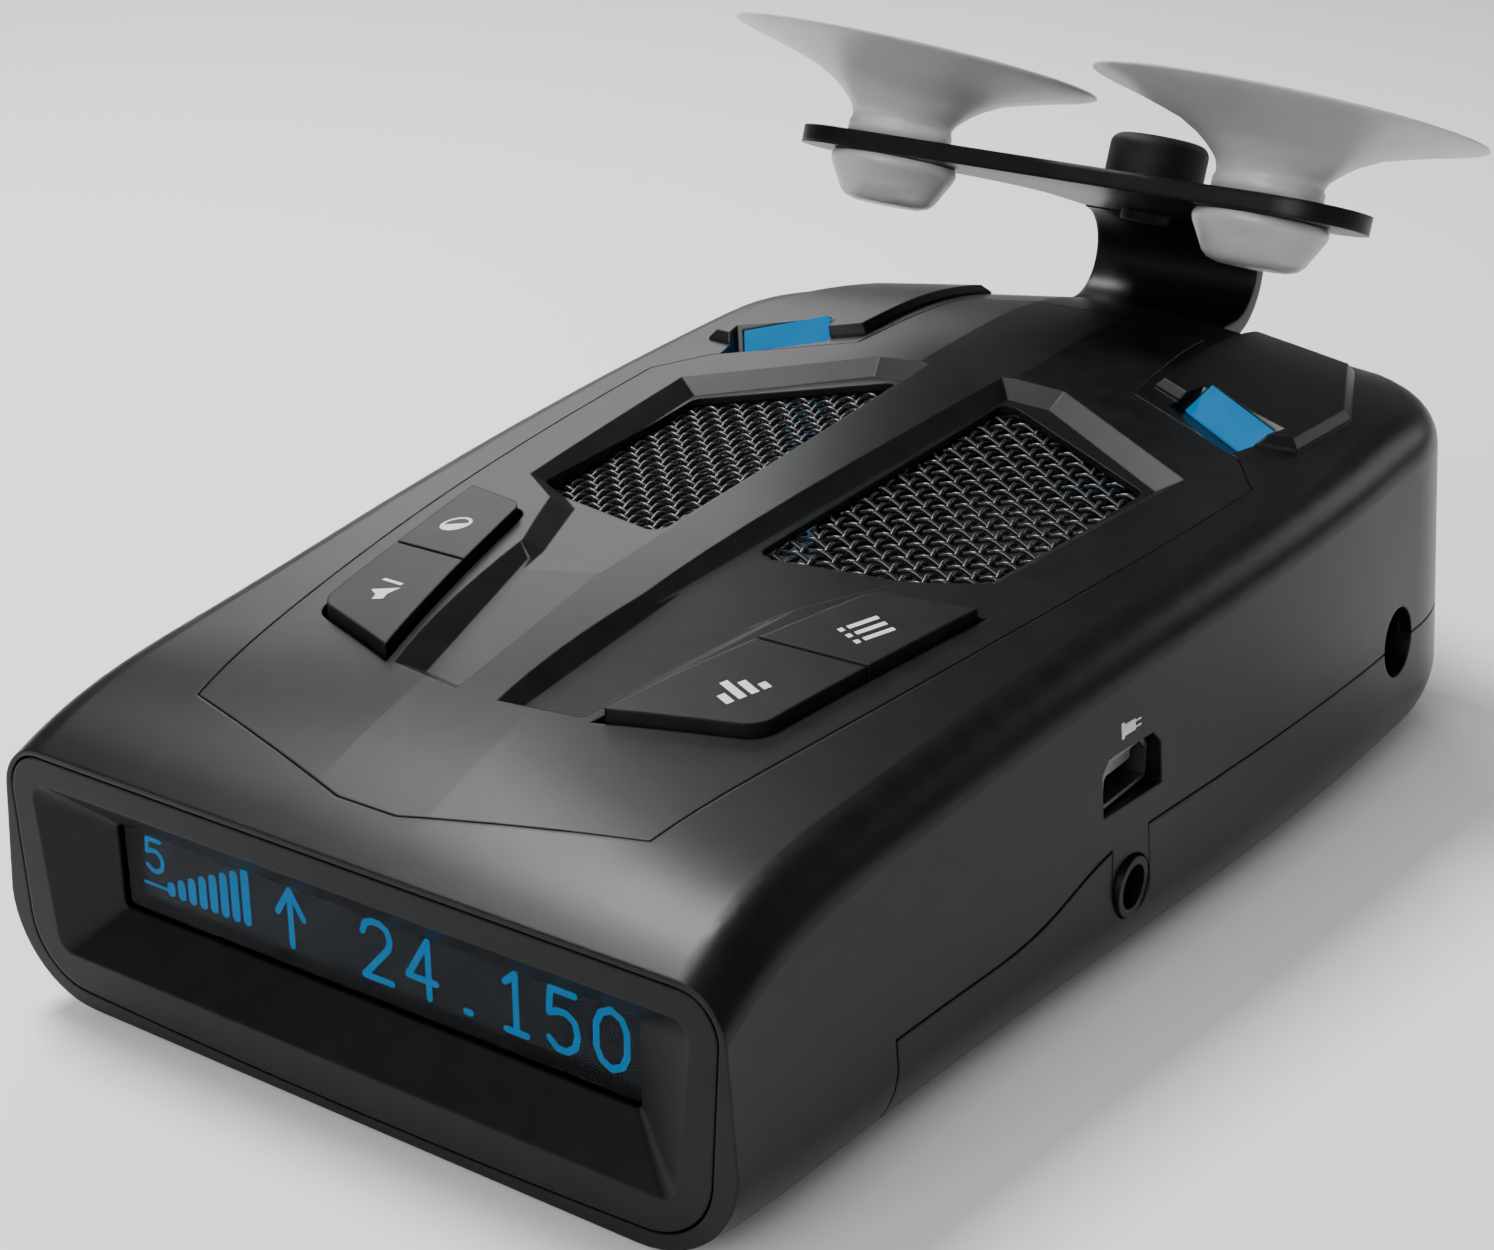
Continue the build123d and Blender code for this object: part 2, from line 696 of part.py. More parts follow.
# ---- grilles ---------------------------------------------------------------------------
grille = prism(grow(opening_plan, grille_lap)) & (
    grille_plane * Box(60, 60, grille_t, align=(Align.CENTER, Align.CENTER, Align.MAX)))
hole = grille_pitch - grille_bar
inner_limit = prism(grow(opening_plan, -0.4))
holes = []
count = 12
for i in range(-count, count + 1):
    for j in range(-count, count + 1):
        a = math.radians(grille_turn)
        u = i * grille_pitch
        v = j * grille_pitch
        hx = u * math.cos(a) - v * math.sin(a)
        hy = u * math.sin(a) + v * math.cos(a)
        spot = grille_plane * Location((hx, hy, 0), (0, 0, grille_turn))
        centre = spot.position
        if inner_limit.is_inside(Vector(centre.X, centre.Y, 30)):
            holes.append(Box(hole, hole, 4).moved(spot))
grille = grille - holes
for node, piece in zip(("grille_right", "grille_left"), both(grille)):
    save(node, piece)

# ---- keys ------------------------------------------------------------------------------
split_a = Vector(key_split[0][0], key_split[0][1], 0)
split_b = Vector(key_split[1][0], key_split[1][1], 0)
split_dir = (split_b - split_a).normalized()
split_side = Vector(-split_dir.Y, split_dir.X, 0)


def split_half(sign):
    """Half plane on one side of the line between two keys, less half the gap."""
    base = split_a + split_side * (sign * button_split_gap / 2)
    far = split_side * (sign * 60)
    pts = [base - split_dir * 60, base + split_dir * 60, base + split_dir * 60 + far,
           base - split_dir * 60 + far]
    return plan_polygon([(p.X, p.Y) for p in pts])


flange_top = panel_t + 0.2
key_centres = {-1: (16.4, 24.8), 1: (19.6, 37.6)}
stem_low = keypad_z + keypad_t + switch_h + switch_knob_h + button_travel + fit


def key(sign):
    """One key cap with its retaining flange and stem."""
    side = prism(split_half(sign))
    cap = (prism(cap_plan) & side & lift(outer, button_proud)) - lift(outer, -flange_top - flange_t)
    skirt = layer(skirt_plan, flange_top, flange_top + flange_t) & side
    cx, cy = key_centres[sign]
    stem = rod_z(cx, cy, stem_low, HIGH, stem_r) & lift(outer, -panel_t)
    return cap + skirt + stem


near_key = key(-1)
far_key = key(1)
save("city_button", near_key)
save("menu_button", far_key)
save("mute_button", near_key.mirror(Plane.YZ))
save("dim_button", far_key.mirror(Plane.YZ))

# ---- keypad board and switches ---------------------------------------------------------
keypad = box(-23.2, 23.2, 13.0, 46.0, keypad_z, keypad_z + keypad_t)
for px, py in post_at:
    keypad -= rod_z(px, py, 0, 40, 1.1)
save("keypad_board", keypad)
switches = []
for cx, cy in key_centres.values():
    for sx in (cx, -cx):
        z0 = keypad_z + keypad_t + 0.01
        body = box(sx - switch_size / 2, sx + switch_size / 2, cy - switch_size / 2, cy + switch_size / 2,
                   z0, z0 + switch_h - 0.01)
        knob = rod_z(sx, cy, z0 + switch_h - 0.2, z0 + switch_h + switch_knob_h - 0.01, switch_knob_r)
        switches.append(body + knob)
save("key_switches", Compound(children=switches))

# ---- display ---------------------------------------------------------------------------
bezel = along_y(bezel_face(0), bezel_t)
mouth = rounded_quad(mouth_top_half, mouth_bot_half, mouth_top_z, mouth_bot_z, 0, mouth_r, mouth_r, -0.02)
inner_mouth = rounded_quad(window_half, window_half, window_top_z, window_bot_z, 0, window_r, window_r,
                           funnel_depth)
bezel -= Solid.make_loft([mouth.outer_wire(), inner_mouth.outer_wire()], True)
bezel -= along_y(inner_mouth, 4)
pane_y = bezel_t - pane_t
bezel -= box(-window_half - pane_lap, window_half + pane_lap, pane_y, bezel_t + 1,
             window_bot_z - pane_lap, window_top_z + pane_lap)
save("display_bezel", bezel)
pane_in = pane_lap - 0.1
save("display_window", box(-window_half - pane_in, window_half + pane_in, pane_y + fit, bezel_t,
                           window_bot_z - pane_in, window_top_z + pane_in))
module_y = bezel_t + 0.1
save("display_module", box(-module_half, module_half, module_y, module_y + module_t, module_bot_z,
                           module_top_z))
board_y = bulkhead_y + fit
save("display_board", box(-display_board_half, display_board_half, board_y, board_y + display_board_t,
                          display_board_bot_z, display_board_top_z))

# Flat ribbon from the display board to the main board.
rib_t = 0.3
rib_y = board_y + display_board_t + fit
rib_z = board_top + fit
rib_end = 20.0
ribbon = box(-7, 7, rib_y, rib_y + rib_t, rib_z, display_board_top_z - 1)
ribbon += box(-7, 7, rib_y, rib_end, rib_z, rib_z + rib_t)
save("ribbon_cable", ribbon)

# ---- main board ------------------------------------------------------------------------
main_pts = [(30.3, 12.0), (34.0, 60.0), (35.8, rear - 27.0), (28.0, rear - 9.0)]
main_all = main_pts + [(-x, y) for x, y in reversed(main_pts)]
main = prism(plan_polygon(main_all), board_z, board_top)
for bx, by in case_boss:
    for sx in (bx, -bx):
        main -= rod_z(sx, by, 0, 40, boss_hole_r + 0.05)
power_half = power_body / 2
power_face_x = side_half(power_y) - wall - side_draft * (power_z + power_half - edge_r) - 0.2
power_back_x = power_face_x - 11.3
main -= box(power_back_x - 0.3, 60, power_y - power_half - 0.3, power_y + power_half + 0.3, 0, 40)
horn_screw_at = [(16.0, horn_from + 4.5), (16.0, horn_to - 7.0)]
for hx, hy in horn_screw_at:
    for sx in (hx, -hx):
        main -= rod_z(sx, hy, 0, 40, 1.1)
save("main_board", main)

# ---- horn antenna ----------------------------------------------------------------------
horn_top = board_z - fit
horn_mid = (horn_bot_z + horn_top) / 2
horn = box(-horn_half, horn_half, horn_from, horn_to, horn_bot_z, horn_top)


def horn_rect(half_w, half_h, y):
    """Upright rectangle for the flared mouth."""
    pts = [(-half_w, y, horn_mid - half_h), (half_w, y, horn_mid - half_h), (half_w, y, horn_mid + half_h),
           (-half_w, y, horn_mid + half_h)]
    return Wire.make_polygon([Vector(*p) for p in pts], close=True)


horn -= Solid.make_loft([horn_rect(throat_half_w, throat_half_h, throat_y),
                         horn_rect(mouth_half_w, mouth_half_h, horn_to + 0.01)], True)
horn -= box(-throat_half_w, throat_half_w, horn_from + 3, throat_y + 0.1, horn_mid - throat_half_h,
            horn_mid + throat_half_h)
for hx, hy in horn_screw_at:
    for sx in (hx, -hx):
        horn -= rod_z(sx, hy, horn_top - 2.2, horn_top + 1, 0.85)
save("horn_antenna", horn)

# ---- shield can, speaker, laser sensor -------------------------------------------------
can = box(-26, -4, 60, 90, board_top + fit, board_top + 4.2)
can -= box(-25.7, -4.3, 60.3, 89.7, board_top, board_top + 3.9)
save("rf_shield", can)

speaker = rod_z(speaker_x, speaker_y, speaker_bot_z + speaker_h - 1.2, speaker_bot_z + speaker_h, speaker_r)
speaker += rod_z(speaker_x, speaker_y, speaker_bot_z, speaker_bot_z + 2.6, 6.5)
speaker += Cone(6.5, 10.5, 2.6, align=(Align.CENTER, Align.CENTER, Align.MIN)).moved(
    Location((speaker_x, speaker_y, speaker_bot_z + 2.5)))
speaker -= Cone(3.0, 10.0, 2.4, align=(Align.CENTER, Align.CENTER, Align.MIN)).moved(
    Location((speaker_x, speaker_y, speaker_bot_z + speaker_h - 2.4 + 0.01)))
save("speaker", speaker)

sensor = box(-7, 7, rear - 16, rear - 9.5, board_top + fit, 25.5)
sensor += rod_y(0, 21.4, rear - 9.6, rear - 6.5, 3.8)
save("laser_sensor", sensor)

rear_pane = box(-rear_pane_half, rear_pane_half, body_len - rear_wall - fit, body_len - 0.3, rear_pane_bot,
                rear_pane_top)
rear_pane += box(-rear_pane_half - 1, rear_pane_half + 1, body_len - rear_wall - 0.9,
                 body_len - rear_wall - fit,
                 rear_pane_bot - 1, rear_pane_top + 1)
save("laser_window", rear_pane)

# ---- USB port, earphone jack, power jack -----------------------------------------------
usb = along_x(usb_outline(0), usb_face_x - usb_len, usb_face_x)
usb -= along_x(usb_outline(-usb_shell), usb_face_x - 6.5, usb_face_x + 1)
usb += box(usb_face_x - 6.6, usb_face_x - 0.8, usb_y - 2.5, usb_y + 2.5, usb_z - 0.1, usb_z + 0.7)
save("usb_connector", usb)

jack_face_x = wall_x_jack + 0.05
jack = rod_x(jack_face_x - 8, jack_face_x, jack_y, jack_z, jack_ring_r)
jack += box(jack_face_x - 15, wall_x_jack - 2.9, jack_y - 3.5, jack_y + 3.5, jack_z - 3.3, board_z - fit)
jack -= rod_x(jack_face_x - jack_bore_len, jack_face_x + 1, jack_y, jack_z, jack_bore_r)
save("earphone_jack", jack)

power = box(power_back_x, power_face_x, power_y - power_half, power_y + power_half, power_z - power_half,
            power_z + power_half)
power -= rod_x(power_face_x - 9, power_face_x + 1, power_y, power_z, power_bore_r)
power += rod_x(power_face_x - 10, power_face_x - 1.5, power_y, power_z, power_pin_r)
ear_z = board_top + fit
power += box(power_back_x + 1.5, power_face_x - 4.5, power_y - power_half - 1.4,
             power_y + power_half + 1.4, ear_z,
             ear_z + 0.8)
save("power_jack", power)

# ---- alert windows ---------------------------------------------------------------------
pipe_low = board_top + 1.2
pipe = box(pipe_x - pipe_w / 2, pipe_x + pipe_w / 2, pipe_y - pipe_d / 2, pipe_y + pipe_d / 2, pipe_low,
           pipe_top)
lens = lens_block + (pipe - extrude(lens_quad(3, 3, 3), amount=9, dir=lens_n))
for node, piece in zip(("alert_lens_right", "alert_lens_left"), both(lens)):
    save(node, piece)
leds = [box(sx - 1.4, sx + 1.4, pipe_y - 0.9, pipe_y + 0.9, board_top + 0.01, pipe_low - 0.1)
        for sx in (pipe_x, -pipe_x)]
save("alert_leds", Compound(children=leds))

# ---- screws ----------------------------------------------------------------------------
case_screws = []
for bx, by in case_boss:
    for sx in (bx, -bx):
        z0 = screw_head_z
        screw = rod_z(sx, by, z0, z0 + screw_head_t - 0.01, screw_head_r)
        screw += rod_z(sx, by, z0 + 0.5, 22.5, screw_r)
        screw -= Box(2.6, 0.6, 1.0).moved(Location((sx, by, z0)))
        screw -= Box(0.6, 2.6, 1.0).moved(Location((sx, by, z0)))
        case_screws.append(screw)
save("case_screws", Compound(children=case_screws))
board_screws = []
for hx, hy in horn_screw_at:
    for sx in (hx, -hx):
        screw = rod_z(sx, hy, board_top + 0.01, board_top + 1.2, 1.8)
        screw += rod_z(sx, hy, board_top - 3.4, board_top + 0.5, 0.8)
        board_screws.append(screw)
for px, py in post_at:
    screw = rod_z(px, py, keypad_z - 1.2, keypad_z - 0.01, 1.8)
    screw += rod_z(px, py, keypad_z - 0.5, post_low + 4.2, 0.9)
    board_screws.append(screw)
save("board_screws", Compound(children=board_screws))

# ---- windscreen bracket ----------------------------------------------------------------
lean_a = math.radians(bar_lean)
bar_n = Vector(0, math.sin(lean_a), math.cos(lean_a))
bar_d = Vector(0, -math.cos(lean_a), math.sin(lean_a))
bend_c = Vector(0, bend_y, tongue_z + bend_r)


def strip_section():
    """Side view of the tongue and the C bend as one closed outline."""
    r_out = bend_r + strip_t / 2
    r_in = bend_r - strip_t / 2
    tip = Vector(0, tongue_from, tongue_z)
    half = Vector(0, 0, strip_t / 2)
    east = Vector(0, 1, 0)
    edges = [
        Edge.make_line(tip - half, bend_c - Vector(0, 0, r_out)),
        Edge.make_three_point_arc(bend_c - Vector(0, 0, r_out), bend_c + east * r_out,
                                  bend_c + bar_n * r_out),
        Edge.make_line(bend_c + bar_n * r_out, bend_c + bar_n * r_in),
        Edge.make_three_point_arc(bend_c + bar_n * r_in, bend_c + east * r_in, bend_c - Vector(0, 0, r_in)),
        Edge.make_line(bend_c - Vector(0, 0, r_in), tip + half),
        Edge.make_line(tip + half, tip - half),
    ]
    return Face(Wire(edges))


bar_plane = Plane(origin=bend_c + bar_n * bend_r, x_dir=(1, 0, 0), z_dir=bar_n)
arm_plan = Pos(0, -bar_reach / 2) * Rectangle(2 * strip_half, bar_reach)
bar_plan = Pos(0, -bar_reach) * SlotOverall(2 * bar_half, 2 * bar_half_w)
plate_plan = arm_plan + bar_plan
inner_corners = [v for v in plate_plan.vertices() if abs(abs(v.X) - strip_half) < 0.01 and -bar_reach + 1 < v.Y < -2]
plate_plan = fillet(inner_corners, bar_fillet)
plate = extrude(bar_plane * plate_plan.face(), amount=strip_t / 2, dir=bar_n, both=True)
roll_z = bend_c.Z + bend_r + bar_reach / 8
roll = Location((0, 0, roll_z)) * Location((0, 0, 0), (0, bar_roll, 0)) * Location((0, 0, -roll_z))


def rolled(shape):
    """Shape turned with the sideways set of the crossbar."""
    return shape.moved(roll)


bracket = extrude(strip_section(), amount=strip_half, dir=(1, 0, 0), both=True) + rolled(plate)


def on_bar(x, v, h):
    """Point above the crossbar plate: across, back from the bend, and up along the lean."""
    return bend_c + bar_n * (bend_r + h) + bar_d * v + Vector(x, 0, 0)


def cup_frame(x, v):
    """Frame on the plate with its Z along the lean."""
    return Plane(origin=on_bar(x, v, 0), x_dir=(1, 0, 0), z_dir=bar_n)


for cx in (cup_x, -cup_x):
    bracket -= rolled(cup_frame(cx, bar_reach) * Cylinder(neck_r + neck_gap, 3 * strip_t))
bracket -= rolled(cup_frame(0, bumper_at) * Cylinder(bumper_stem_r + neck_gap, 3 * strip_t))
save("mount_bracket", bracket)

# Rubber bumper that steadies the bracket against the glass.
face_h = strip_t / 2 + 0.02
foot = Cylinder(bumper_r, bumper_h, align=(Align.CENTER, Align.CENTER, Align.MIN))
foot = fillet(foot.edges().sort_by(Axis.Z)[-1], 1.2)
bumper = foot.moved(Location((0, 0, face_h)))
bumper += Cylinder(bumper_stem_r, 2 * face_h + 0.2)
bumper += Cylinder(2.5, 1.0, align=(Align.CENTER, Align.CENTER, Align.MAX)).moved(Location((0, 0, -face_h)))
save("bracket_bumper", rolled(cup_frame(0, bumper_at) * bumper))

# Suction cup: knob under the plate, neck through it, collar and flared bell above.
g = strip_t / 2 + neck_gap
collar_h = 1.5
collar_r = 5.2
knob_r = 6.3
knob_h = 4.6
bell_floor = 2.0        # thickness of rubber left under the middle of the bell


def turned(lines):
    """Solid of revolution from half-section lines."""
    edges = [e for part in lines for e in part.edges()]
    return revolve(Plane.XZ * make_face(edges), Axis.Z)


def cup_foot():
    """Knob, neck and collar."""
    low = Polyline((0, -g - knob_h), (3.4, -g - knob_h), (4.6, -g - 4.0), (knob_r, -g - 1.1), (knob_r,
                                                                                               -g - 0.3),
                   (knob_r - 0.4, -g), (neck_r, -g), (neck_r, g), (collar_r, g), (collar_r, g + collar_h),
                   (0, g + collar_h), (0, -g - knob_h))
    return turned([low])


def cup_bell():
    """Flared bell with a flat land on its rim."""
    start = g + collar_h
    outside = Spline((collar_r - 0.3, start), (5.7, start + 1.5), (7.6, start + 3.1), (11.6, start + 4.7),
                     (cup_r, cup_h - rim_t))
    rim = Polyline((cup_r, cup_h - rim_t), (cup_r, cup_h), (cup_r - rim_w, cup_h))
    inside = Spline((cup_r - rim_w, cup_h), (11.6, cup_h - 0.95), (6.0, cup_h - bell_floor), (0, cup_h - 2.2))
    low = Polyline((0, cup_h - 2.2), (0, start - 0.6), (collar_r - 0.3, start - 0.6), (collar_r - 0.3, start))
    return turned([outside, rim, inside, low])


flop_at = g + collar_h
flop = Location((0, 0, flop_at)) * Location((0, 0, 0), (0, cup_flop, 0)) * Location((0, 0, -flop_at))
cup = cup_foot() + cup_bell().moved(flop)
save("suction_cup_right", rolled(cup_frame(cup_x, bar_reach) * cup))
save("suction_cup_left", rolled(cup_frame(-cup_x, bar_reach) * cup))
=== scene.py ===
import json
import math

import bmesh
import bpy
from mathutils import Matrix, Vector


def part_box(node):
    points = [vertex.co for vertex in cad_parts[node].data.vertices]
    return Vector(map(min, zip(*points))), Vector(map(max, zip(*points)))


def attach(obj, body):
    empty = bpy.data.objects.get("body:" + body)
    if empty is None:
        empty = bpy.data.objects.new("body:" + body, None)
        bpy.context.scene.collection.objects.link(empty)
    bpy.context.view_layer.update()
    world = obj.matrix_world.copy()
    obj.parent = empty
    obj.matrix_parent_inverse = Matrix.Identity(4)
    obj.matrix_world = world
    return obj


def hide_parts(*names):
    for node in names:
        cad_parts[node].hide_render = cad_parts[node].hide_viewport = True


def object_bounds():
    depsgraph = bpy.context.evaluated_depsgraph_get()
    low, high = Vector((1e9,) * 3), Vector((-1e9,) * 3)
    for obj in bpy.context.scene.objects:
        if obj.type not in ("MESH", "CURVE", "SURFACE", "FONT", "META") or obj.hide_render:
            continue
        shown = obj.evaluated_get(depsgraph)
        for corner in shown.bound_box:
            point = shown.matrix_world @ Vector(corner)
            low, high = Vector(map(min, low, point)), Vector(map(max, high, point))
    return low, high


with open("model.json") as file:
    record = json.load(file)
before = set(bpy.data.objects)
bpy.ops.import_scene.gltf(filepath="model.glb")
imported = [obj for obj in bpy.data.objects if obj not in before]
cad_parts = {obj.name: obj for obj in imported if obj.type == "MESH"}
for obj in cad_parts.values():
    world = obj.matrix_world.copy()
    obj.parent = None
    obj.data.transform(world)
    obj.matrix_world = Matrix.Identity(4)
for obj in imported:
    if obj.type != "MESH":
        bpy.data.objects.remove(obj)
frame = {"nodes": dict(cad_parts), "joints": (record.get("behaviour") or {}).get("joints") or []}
cad_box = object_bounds()
nodes = frame["nodes"]
MM = 0.001


# ---- case halves -----------------------------------------------------------------------
# The two halves of the case are injection moulded in black ABS and screwed together from
# below. The mould is spark eroded, so the skin is a very fine even grain with a satin sheen,
# and the edges are slightly softened where mould halves meet.
CASE_BLACK = (0.0030, 0.0033, 0.0036)
CASE_ROUGH = 0.35
CASE_GRAIN = 0.00016        # size of the grain
CASE_DEPTH = 0.0000045      # height of the grain
CASE_EDGE = 0.00028         # softening of the edges


def new_material(name):
    """Empty material with its shader, and a maker of nodes that can be linked in one line."""
    mat = bpy.data.materials.new(name)
    mat.use_nodes = True
    tree = mat.node_tree
    tree.nodes.clear()
    shader = tree.nodes.new("ShaderNodeBsdfPrincipled")
    out = tree.nodes.new("ShaderNodeOutputMaterial")
    tree.links.new(shader.outputs["BSDF"], out.inputs["Surface"])

    def add(kind, values=None, **links):
        node = tree.nodes.new(kind)
        for key, value in (values or {}).items():
            if key in node.inputs:
                node.inputs[key].default_value = value
            else:
                setattr(node, key, value)
        for key, socket in links.items():
            tree.links.new(socket, node.inputs[key.replace("_", " ")])
        return node

    return mat, shader, tree, add


def moulded(name, colour, rough, grain, depth, edge, spread=0.04, tint=0.35, specular=0.16):
    """Moulded or coated skin: fine grain, patchy sheen, faint change of shade, softened edges."""
    mat, shader, tree, add = new_material(name)
    place = add("ShaderNodeTexCoord").outputs["Object"]
    fine = add("ShaderNodeTexNoise", {"Scale": 1 / grain, "Detail": 3.0, "Roughness": 0.6}, Vector=place)
    broad = add("ShaderNodeTexNoise", {"Scale": 55.0, "Detail": 5.0, "Roughness": 0.6}, Vector=place)
    rub = add("ShaderNodeTexNoise", {"Scale": 420.0, "Detail": 2.0}, Vector=place)
    sheen = add("ShaderNodeMapRange", {"To Min": rough - spread, "To Max": rough + spread},
                Value=broad.outputs["Fac"])
    tree.links.new(sheen.outputs["Result"], shader.inputs["Roughness"])
    shade = add("ShaderNodeValToRGB", Fac=rub.outputs["Fac"])
    low, high = shade.color_ramp.elements
    low.position, high.position = 0.3, 0.75
    low.color = (*(c * (1 - tint) for c in colour), 1)
    high.color = (*(c * (1 + tint) for c in colour), 1)
    tree.links.new(shade.outputs["Color"], shader.inputs["Base Color"])
    soft = add("ShaderNodeBevel", {"samples": 4, "Radius": edge})
    bump = add("ShaderNodeBump", {"Strength": 1.0, "Distance": depth}, Height=fine.outputs["Fac"],
               Normal=soft.outputs["Normal"])
    tree.links.new(bump.outputs["Normal"], shader.inputs["Normal"])
    shader.inputs["Specular IOR Level"].default_value = specular
    return mat


def paint(node, mat):
    """Give a CAD piece its finish on every face."""
    mesh = nodes[node].data
    mesh.materials.clear()
    mesh.materials.append(mat)
    for face in mesh.polygons:
        face.material_index = 0


case_skin = moulded("case_skin", CASE_BLACK, CASE_ROUGH, CASE_GRAIN, CASE_DEPTH, CASE_EDGE)
paint("upper_case", case_skin)
paint("lower_case", case_skin)

# ---- top panel -------------------------------------------------------------------------
# A separate moulding that drops into the roof: it carries the two long valleys over the
# speaker and the key pockets. It is a shade greyer and flatter than the case, with a
# slightly coarser soft-feel coat.
PANEL_GREY = (0.0040, 0.0045, 0.0050)
PANEL_ROUGH = 0.38
panel_skin = moulded("panel_skin", PANEL_GREY, PANEL_ROUGH, 0.00022, 0.000004, 0.00022)
paint("top_panel", panel_skin)

# ---- display end -----------------------------------------------------------------------
# The bezel is a glossy black funnel pushed into the front of the case. A smoked acrylic
# pane closes its narrow end, and the lit characters of the display lie behind the pane.
bezel_skin = moulded("bezel_skin", (0.0025, 0.0027, 0.003), 0.38, 0.0003, 0.000006, 0.0003)
paint("display_bezel", bezel_skin)

STROKE = 0.27 * MM          # half width of a lit stroke
CELL_W = 2.55 * MM          # width of a character
CELL_H = 4.5 * MM           # height of a character
CELL_STEP = 4.12 * MM
TEXT_X = -9.2 * MM
TEXT_Z = 10.7 * MM
BAR_X = -20.2 * MM
LIT_BLUE = (0.0, 0.32, 0.72, 1)
LIT_STRENGTH = 0.9

DIGITS = {
    "2": [[(0, .78), (.12, .94), (.35, 1), (.65, 1), (.9, .92), (1, .76), (.93, .6), (0, 0), (1, 0)]],
    "4": [[(.74, 0), (.74, 1), (0, .3), (1, .3)]],
    "1": [[(.2, .82), (.55, 1), (.55, 0)], [(.2, 0), (.9, 0)]],
    "5": [[(.92, 1), (.12, 1), (.06, .58), (.34, .65), (.66, .65), (.92, .54), (1, .33), (.92, .12), (.65, 0),
           (.32, 0), (.05, .14)]],
    "0": [[(.5, 1), (.16, .9), (0, .7), (0, .3), (.16, .1), (.5, 0), (.84, .1), (1, .3), (1, .7), (.84, .9),
           (.5, 1)]],
    ".": [[(.42, .03), (.58, .03)]],
    "up": [[(.5, 0), (.5, 1)], [(0, .55), (.5, 1), (1, .55)]],
}

display_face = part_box("display_module")[0].y - 0.00004


def stroke_mesh(bm, paths, ox, oz, width, height, half):
    """Flat strokes along the given paths, each with round ends, in an upright plane."""
    for path in paths:
        pts = [Vector((ox + x * width, display_face, oz + z * height)) for x, z in path]
        for a, b in zip(pts, pts[1:]):
            side = (b - a).cross(Vector((0, 1, 0))).normalized() * half
            bm.faces.new([bm.verts.new(p) for p in (a - side, b - side, b + side, a + side)])
        for p in pts:
            ring = [p + Vector((math.cos(t), 0, math.sin(t))) * half
                    for t in (math.tau * i / 10 for i in range(10))]
            bm.faces.new([bm.verts.new(q) for q in ring])


def mesh_object(name, bm, mat, body, smooth=False):
    """Finished mesh object that rides on a body."""
    mesh = bpy.data.meshes.new(name)
    bm.to_mesh(mesh)
    bm.free()
    mesh.materials.append(mat)
    for face in mesh.polygons:
        face.use_smooth = smooth
    obj = bpy.data.objects.new(name, mesh)
    bpy.context.scene.collection.objects.link(obj)
    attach(obj, body)
    return obj


def lit(name, colour, strength, scale=900.0):
    """Lit surface with a faint unevenness in its glow."""
    mat, shader, tree, add = new_material(name)
    place = add("ShaderNodeTexCoord").outputs["Object"]
    cells = add("ShaderNodeTexNoise", {"Scale": scale, "Detail": 1.0}, Vector=place)
    glow = add("ShaderNodeValToRGB", Fac=cells.outputs["Fac"])
    glow.color_ramp.elements[0].color = (*(c * 0.8 for c in colour[:3]), 1)
    glow.color_ramp.elements[1].color = colour
    tree.links.new(glow.outputs["Color"], shader.inputs["Emission Color"])
    shader.inputs["Base Color"].default_value = (0.0, 0.01, 0.03, 1)
    shader.inputs["Specular IOR Level"].default_value = 0.02
    shader.inputs["Emission Strength"].default_value = strength
    shader.inputs["Roughness"].default_value = 0.4
    return mat


bm = bmesh.new()
for i, mark in enumerate(["up", None, "2", "4", ".", "1", "5", "0"]):
    if mark:
        stroke_mesh(bm, DIGITS[mark], TEXT_X + i * CELL_STEP, TEXT_Z, CELL_W, CELL_H, STROKE)
stroke_mesh(bm, DIGITS["5"], -22.6 * MM, 12.6 * MM, 1.7 * MM, 2.6 * MM, 0.19 * MM)
stroke_mesh(bm, [[(0, 0), (1, 0)]], -23.0 * MM, 11.4 * MM, 2.5 * MM, 1, 0.12 * MM)
for i in range(8):
    x = BAR_X + i * 1.12 * MM
    stroke_mesh(bm, [[(0, 0), (0, 1)]], x, 11.3 * MM, 1, (0.45 + 0.5 * i) * MM, 0.40 * MM)
mesh_object("display_characters", bm, lit("lit_characters", LIT_BLUE, LIT_STRENGTH), "detector")

glass, shader, tree, add = new_material("display_face")
place = add("ShaderNodeTexCoord").outputs["Object"]
rows = add("ShaderNodeTexWave", {"Scale": 900.0, "Distortion": 0.0}, Vector=place)
dark = add("ShaderNodeValToRGB", Fac=rows.outputs["Fac"])
dark.color_ramp.elements[0].color = (0.0006, 0.001, 0.003, 1)
dark.color_ramp.elements[1].color = (0.0016, 0.0026, 0.006, 1)
tree.links.new(dark.outputs["Color"], shader.inputs["Base Color"])
shader.inputs["Roughness"].default_value = 0.25
shader.inputs["Specular IOR Level"].default_value = 0.1
paint("display_module", glass)

smoke, shader, tree, add = new_material("smoked_pane")
place = add("ShaderNodeTexCoord").outputs["Object"]
film = add("ShaderNodeTexNoise", {"Scale": 160.0, "Detail": 6.0}, Vector=place)
haze = add("ShaderNodeMapRange", {"To Min": 0.02, "To Max": 0.09}, Value=film.outputs["Fac"])
tree.links.new(haze.outputs["Result"], shader.inputs["Roughness"])
shader.inputs["Base Color"].default_value = (0.5, 0.56, 0.62, 1)
shader.inputs["Transmission Weight"].default_value = 1.0
shader.inputs["IOR"].default_value = 1.12
paint("display_window", smoke)

